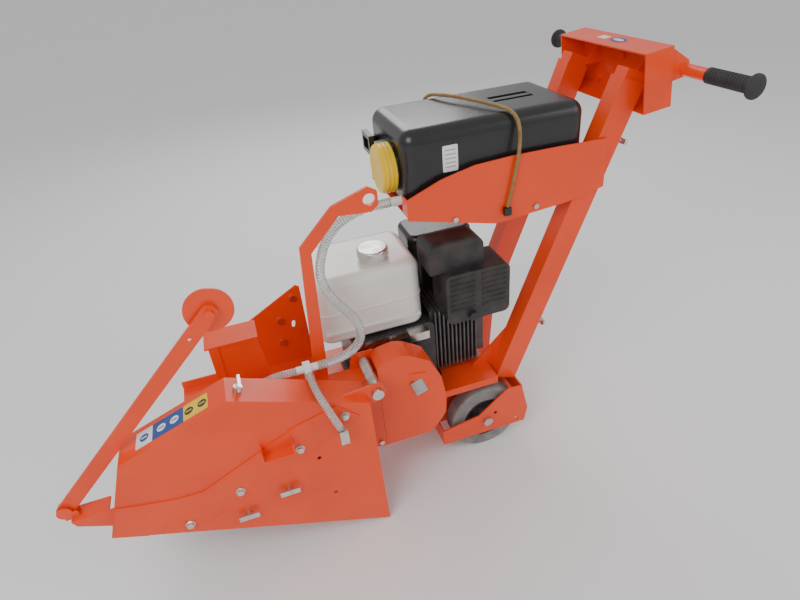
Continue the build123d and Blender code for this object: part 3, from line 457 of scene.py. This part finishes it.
# %% [markdown]
# Every CAD part takes the finish of its own slot in the record.

# %% Give the CAD parts their finishes
slot_of = {p["node"]: p["material_slot"] for p in frame["record"]["subparts"]}


def dress(piece, slot_name):
    if not piece.material_slots:
        piece.data.materials.append(None)
    for held in piece.material_slots:
        held.material = finishes[slot_name]


for node_name, node in nodes.items():
    dress(node, slot_of[node_name])
for node_name in ("hose_main", "hose_left", "hose_right"):
    dress(cords[node_name], "clear_hose")
    dress(spirals[node_name], "white_plastic")
dress(cords["elastic_strap"], "tan_strap")
print("dressed", len(nodes), "CAD parts")

# %% [markdown]
# Grips and caps are round, so one helper turns a profile about an axis. A profile is a list
# of (distance along the axis, radius), and rings come from a radius that rises and falls.


# %% Turned pieces
def turned(name, profile, centre, axis, sides=72):
    axis = Vector(axis).normalized()
    a = axis.orthogonal().normalized()
    b = axis.cross(a)
    bm = bmesh.new()
    rings = []
    for along, radius in profile:
        middle = Vector(centre) + along * axis
        rings.append([
            bm.verts.new(middle + radius * (math.cos(t) * a + math.sin(t) * b))
            for t in (2 * math.pi * k / sides for k in range(sides))
        ])
    for lower, upper in zip(rings, rings[1:]):
        for k in range(sides):
            n = (k + 1) % sides
            bm.faces.new((lower[k], lower[n], upper[n], upper[k]))
    bm.faces.new(rings[0])
    bm.faces.new(rings[-1])
    piece = mesh_piece(name, bm)
    piece.data.set_sharp_from_angle(angle=math.radians(38))
    return piece


# %% [markdown]
# The water can's filler cap is as wide as a hand. Its face is smooth and slightly hollow, and
# rings run round its rim. A tab at its side is moulded with it. The rings are real geometry
# here, in the profile that is turned, and the plain CAD cap is hidden.

# %% Filler cap
cap_low, cap_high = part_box("tank_cap")
cap_mid = (cap_low + cap_high) / 2
cap_r = (cap_high.y - cap_low.y) / 2
cap_len = cap_high.x - cap_low.x
cap_profile = [(0.0, cap_r - 0.005), (0.0015, cap_r - 0.001)]
RIM_RINGS = 3
ring_long = (cap_len - 0.006) / RIM_RINGS
for k in range(RIM_RINGS):
    foot = 0.002 + k * ring_long
    cap_profile += [
        (foot, cap_r - 0.0005), (foot + ring_long * 0.2, cap_r), (foot + ring_long * 0.62, cap_r),
        (foot + ring_long * 0.74, cap_r - 0.003), (foot + ring_long * 0.9, cap_r - 0.003),
    ]
cap_profile += [
    (cap_len - 0.0035, cap_r - 0.002), (cap_len - 0.001, cap_r - 0.004),
    (cap_len, cap_r - 0.008), (cap_len - 0.0015, cap_r - 0.013), (cap_len - 0.0025, 0.012),
]
filler_cap = turned(
    "filler_cap", cap_profile, (cap_high.x, cap_mid.y, cap_mid.z), (-1, 0, 0), 96,
)
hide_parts("tank_cap")
dress(filler_cap, "yellow_plastic")
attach(filler_cap, "tank_cap")


def rounded_bar(name, centre, size, edge, turn_by=None):
    """A box with rounded edges, at a place and with a turn of its own."""
    bm = bmesh.new()
    bmesh.ops.create_cube(bm, size=1.0)
    bmesh.ops.scale(bm, vec=size, verts=bm.verts)
    bmesh.ops.bevel(bm, geom=bm.edges[:], offset=edge, segments=3, affect="EDGES", profile=0.7)
    if turn_by is not None:
        bmesh.ops.transform(bm, matrix=turn_by.to_4x4(), verts=bm.verts)
    bmesh.ops.translate(bm, vec=Vector(centre), verts=bm.verts)
    piece = mesh_piece(name, bm)
    piece.data.set_sharp_from_angle(angle=math.radians(50))
    return piece


cap_tab = rounded_bar(
    "cap_tab", (cap_low.x + 0.008, cap_mid.y + cap_r, cap_mid.z - 0.008),
    (0.006, 0.016, 0.022), 0.0028,
)
tab_reach = max(
    math.hypot(v.co.y - cap_mid.y, v.co.z - cap_mid.z) for v in cap_tab.data.vertices
)
handle_near = min(
    math.hypot(v.co.y - cap_mid.y, v.co.z - cap_mid.z)
    for v in nodes["water_tank"].data.vertices if v.co.x < cap_high.x - 0.012
)
print("tab reaches", round(tab_reach, 4), "from the axis")
print("the can's handle starts at", round(handle_near, 4))
dress(cap_tab, "yellow_plastic")
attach(cap_tab, "tank_cap")
print("cap radius", round(cap_r, 4), "length", round(cap_len, 4))

# %% [markdown]
# The handgrips are black rubber sleeves with close rings and a flange at the outer end.
# Their CAD solids are plain sleeves, so each grip is turned again with its rings.

# %% Handgrips
grip_low, grip_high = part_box("grips")
grip_mid = (grip_low + grip_high) / 2
flange_r = (grip_high.z - grip_low.z) / 2
GRIP_R = 0.016
GRIP_LONG = 0.118
RING = 0.0078
for side, label in ((-1, "near"), (1, "far")):
    outer = grip_low.y if side < 0 else grip_high.y
    profile = [(0.0, 0.008), (0.0, flange_r - 0.002), (0.0015, flange_r),
               (0.005, flange_r), (0.007, GRIP_R)]
    along = 0.009
    while along < GRIP_LONG - RING:
        profile += [(along, GRIP_R), (along + 0.0016, GRIP_R - 0.0018),
                    (along + 0.0034, GRIP_R - 0.0018), (along + 0.005, GRIP_R)]
        along += RING
    profile += [(GRIP_LONG - 0.001, GRIP_R), (GRIP_LONG, GRIP_R - 0.001), (GRIP_LONG, 0.0135)]
    grip = turned("handgrip_" + label, profile, (grip_mid.x, outer, grip_mid.z), (0, -side, 0), 48)
    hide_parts("grips")
    dress(grip, "rubber")
    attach(grip, "handle")
print("grip flange", round(flange_r, 4), "outer ends", round(grip_low.y, 3), round(grip_high.y, 3))

# %% [markdown]
# Labels and plates are thin films that lie on a part. A ray shot at the part finds the
# point and the direction of its surface, so that a film lies flat on it wherever it is.


# %% Films on a surface
def surface(node_name, start, toward):
    hit, place, normal, _ = nodes[node_name].ray_cast(Vector(start), Vector(toward).normalized())
    if not hit:
        raise RuntimeError("nothing to lie on: " + node_name)
    return place, normal


def film(name, place, normal, along, size, body, material, lift=0.0004, round_to=0):
    """A thin plate on a surface: a rounded rectangle, or an oval when round_to is large."""
    normal = normal.normalized()
    along = (Vector(along) - normal * Vector(along).dot(normal)).normalized()
    across = normal.cross(along)
    corners = 64
    outline = []
    for k in range(corners):
        t = 2 * math.pi * (k + 0.5) / corners
        power = 1.0 if round_to else 0.12
        x = math.copysign(abs(math.cos(t)) ** power, math.cos(t)) * size[0] / 2
        y = math.copysign(abs(math.sin(t)) ** power, math.sin(t)) * size[1] / 2
        outline.append(place + normal * lift + along * x + across * y)
    bm = bmesh.new()
    top = [bm.verts.new(p) for p in outline]
    low = [bm.verts.new(p - normal * (lift - 0.0001)) for p in outline]
    bm.faces.new(top)
    bm.faces.new(low)
    for k in range(corners):
        n = (k + 1) % corners
        bm.faces.new((top[k], top[n], low[n], low[k]))
    piece = mesh_piece(name, bm, smooth=False)
    piece.data.materials.append(material)
    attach(piece, body)
    return piece


paper = finish("label_paper", (0.82, 0.82, 0.80), (0.70, 0.69, 0.65), 0.38, cloud=50.0, dusty=0.1)
blue_ink = finish("label_blue", (0.02, 0.07, 0.30), (0.04, 0.10, 0.34), 0.36, cloud=50.0, dusty=0.1)
yellow_ink = finish("label_yellow", (0.88, 0.58, 0.02), (0.76, 0.48, 0.02), 0.36,
                    cloud=50.0, dusty=0.1)
dark_ink = finish("label_dark", (0.03, 0.03, 0.035), (0.07, 0.07, 0.07), 0.40,
                  cloud=50.0, dusty=0.1)
grey_ink = finish("label_grey", (0.30, 0.31, 0.32), (0.38, 0.38, 0.38), 0.40,
                  cloud=50.0, dusty=0.1)

# %% [markdown]
# The guard's sloping front strip carries a label in three fields, white, blue and yellow.
# Only plain shapes are put on it: dots and bars with no words and no signs.

# %% Guard label
slope = Vector((0.230, 0.0, 0.086)).normalized()
label_mid = Vector((-0.476, -0.252, 0.60))
place, normal = surface("guard_shell", label_mid, (0, 0, -1))
fields = (("white", paper, 0.23), ("blue", blue_ink, 0.43), ("yellow", yellow_ink, 0.34))
LABEL_LONG = 0.165
LABEL_WIDE = 0.046
start = -LABEL_LONG / 2
for label, material, share in fields:
    long = LABEL_LONG * share
    mid = place + slope * (start + long / 2)
    film("guard_label_" + label, mid, normal, slope, (long, LABEL_WIDE),
         "guard", material)
    marks = 1 if share < 0.3 else 2
    for k in range(marks):
        spot = mid + slope * ((k - (marks - 1) / 2) * 0.030)
        ink = dark_ink if label == "yellow" else paper if label == "blue" else blue_ink
        film(f"guard_label_{label}_dot_{k}", spot, normal, slope, (0.020, 0.020),
             "guard", ink, lift=0.0007, round_to=1)
        film(f"guard_label_{label}_bar_{k}", spot, normal, slope, (0.013, 0.003),
             "guard", material, lift=0.0010)
    start += long
print("guard label at", tuple(round(v, 3) for v in place))

# %% [markdown]
# The can has one small white sticker on its near side, and the control box has an oval and
# a small rectangle on top. All are left plain apart from a few grey lines.

# %% Other labels
place, normal = surface("water_tank", (0.190, -0.40, 0.834), (0, 1, 0))
film("can_label", place, normal, (1, 0, 0), (0.034, 0.056), "machine", paper)
for k in range(5):
    line = place + Vector((0, 0, 0.018 - 0.009 * k))
    film(f"can_label_line_{k}", line, normal, (1, 0, 0), (0.024, 0.0022),
         "machine", grey_ink, lift=0.0007)

box_low, box_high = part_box("control_box")
box_mid = (box_low + box_high) / 2
place, normal = surface("control_box", (box_mid.x - 0.004, box_mid.y - 0.018, 1.2), (0, 0, -1))
film("box_oval", place, normal, (0, 1, 0), (0.050, 0.027), "handle", blue_ink,
     round_to=1)
film("box_oval_middle", place, normal, (0, 1, 0), (0.034, 0.011), "handle", paper,
     lift=0.0007, round_to=1)
place, normal = surface("control_box", (box_mid.x - 0.004, box_mid.y + 0.036, 1.2), (0, 0, -1))
film("box_plate", place, normal, (0, 1, 0), (0.030, 0.018), "handle", paper)
print("control box labels at", [round(v, 3) for v in place])

# %% [markdown]
# A small dark metal plate is fixed to the belt cover's near face. It is plain.

# %% Dark plate
cover_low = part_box("belt_cover")[0]
place, normal = surface("belt_cover", (0.052, cover_low.y - 0.1, 0.330), (0, 1, 0))
film("cover_plate", place, normal, (0.94, 0, 0.34), (0.030, 0.044), "machine",
     finishes["steel"], lift=0.0012)
print("plate on the cover at", [round(v, 3) for v in place])

# %% [markdown]
# The muffler's cover is pressed sheet with rows of louvres, which let the air out. Each
# louvre is a short rounded bar that stands a little off the near face.

# %% Muffler louvres
muffler_low, muffler_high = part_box("muffler")
print("muffler box", [round(v, 3) for v in muffler_low], [round(v, 3) for v in muffler_high])
tip = Matrix.Rotation(math.radians(32), 3, "X")
LOUVRE_LONG = 0.062
ROWS = 7
for row in range(ROWS):
    z = 0.468 + 0.084 * row / (ROWS - 1)
    for column, x in enumerate((0.199, 0.279)):
        place, normal = surface("muffler", (x, muffler_low.y - 0.1, z), (0, 1, 0))
        louvre = rounded_bar(f"louvre_{row}_{column}", place, (LOUVRE_LONG, 0.0044, 0.0062),
                             0.0014, tip)
        dress(louvre, "muffler_black")
        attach(louvre, "machine")

# %% [markdown]
# The fuel tank is two pressed halves. They meet in a rolled seam that runs round the tank
# at half height, made here as a thin band that follows the tank's rounded corners.

# %% Fuel tank seam
fuel_low, fuel_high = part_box("fuel_tank")
seam_z = fuel_low.z + 0.45 * (fuel_high.z - fuel_low.z)
seam = []
fuel_mid = (fuel_low + fuel_high) / 2
for k in range(120):
    t = 2 * math.pi * k / 120
    out = Vector((math.cos(t), math.sin(t), 0))
    start_at = Vector((fuel_mid.x, fuel_mid.y, seam_z)) + out * 0.4
    hit, place, normal, _ = nodes["fuel_tank"].ray_cast(start_at, -out)
    if hit:
        seam.append(place)
seam.append(seam[0].copy())
seam_band = tube_mesh("fuel_tank_seam", seam, 0.0022, 8)
dress(seam_band, "tank_white")
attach(seam_band, "machine")
print("seam points", len(seam), "at height", round(seam_z, 3))

# %% [markdown]
# The studio is a wide pale floor under soft light: one large lamp above and to the left, a
# weaker one from the right, one behind the machine, and an even pale sky that keeps the
# shadows light.

# %% Floor and light
floor_bm = bmesh.new()
bmesh.ops.create_grid(floor_bm, x_segments=2, y_segments=2, size=60.0)
floor = mesh_piece("floor", floor_bm, smooth=False)
floor_material = bpy.data.materials.new("pale_floor")
floor_material.use_nodes = True
floor_tree = floor_material.node_tree
floor_shader = floor_tree.nodes["Principled BSDF"]
floor_shader.inputs["Roughness"].default_value = 0.85
floor_cloud = group_node(floor_tree, wear, Scale=1.5, Amount=0.3)
floor_tree.links.new(mixed(floor_tree, floor_cloud, (0.90, 0.90, 0.90), (0.87, 0.87, 0.87)),
                     floor_shader.inputs["Base Color"])
floor.data.materials.append(floor_material)

world = bpy.data.worlds.new("sky")
bpy.context.scene.world = world
world.use_nodes = True
world.node_tree.nodes["Background"].inputs["Color"].default_value = (1.0, 1.0, 1.0, 1.0)
world.node_tree.nodes["Background"].inputs["Strength"].default_value = 0.62


def soft_lamp(name, place, aim, size, power):
    data = bpy.data.lights.new(name, "AREA")
    data.shape = "SQUARE"
    data.size = size
    data.energy = power
    lamp = bpy.data.objects.new(name, data)
    lamp.location = place
    lamp.rotation_euler = (Vector(aim) - Vector(place)).to_track_quat("-Z", "Y").to_euler()
    bpy.context.collection.objects.link(lamp)


soft_lamp("key", (-1.8, -2.0, 2.8), (0, 0, 0.4), 1.8, 48)
soft_lamp("side", (2.4, -1.6, 1.8), (0, 0, 0.5), 1.6, 16)
soft_lamp("rear", (0.5, 2.4, 2.4), (0, 0, 0.5), 1.6, 30)
print("lamps", [lamp.name for lamp in bpy.data.lights])
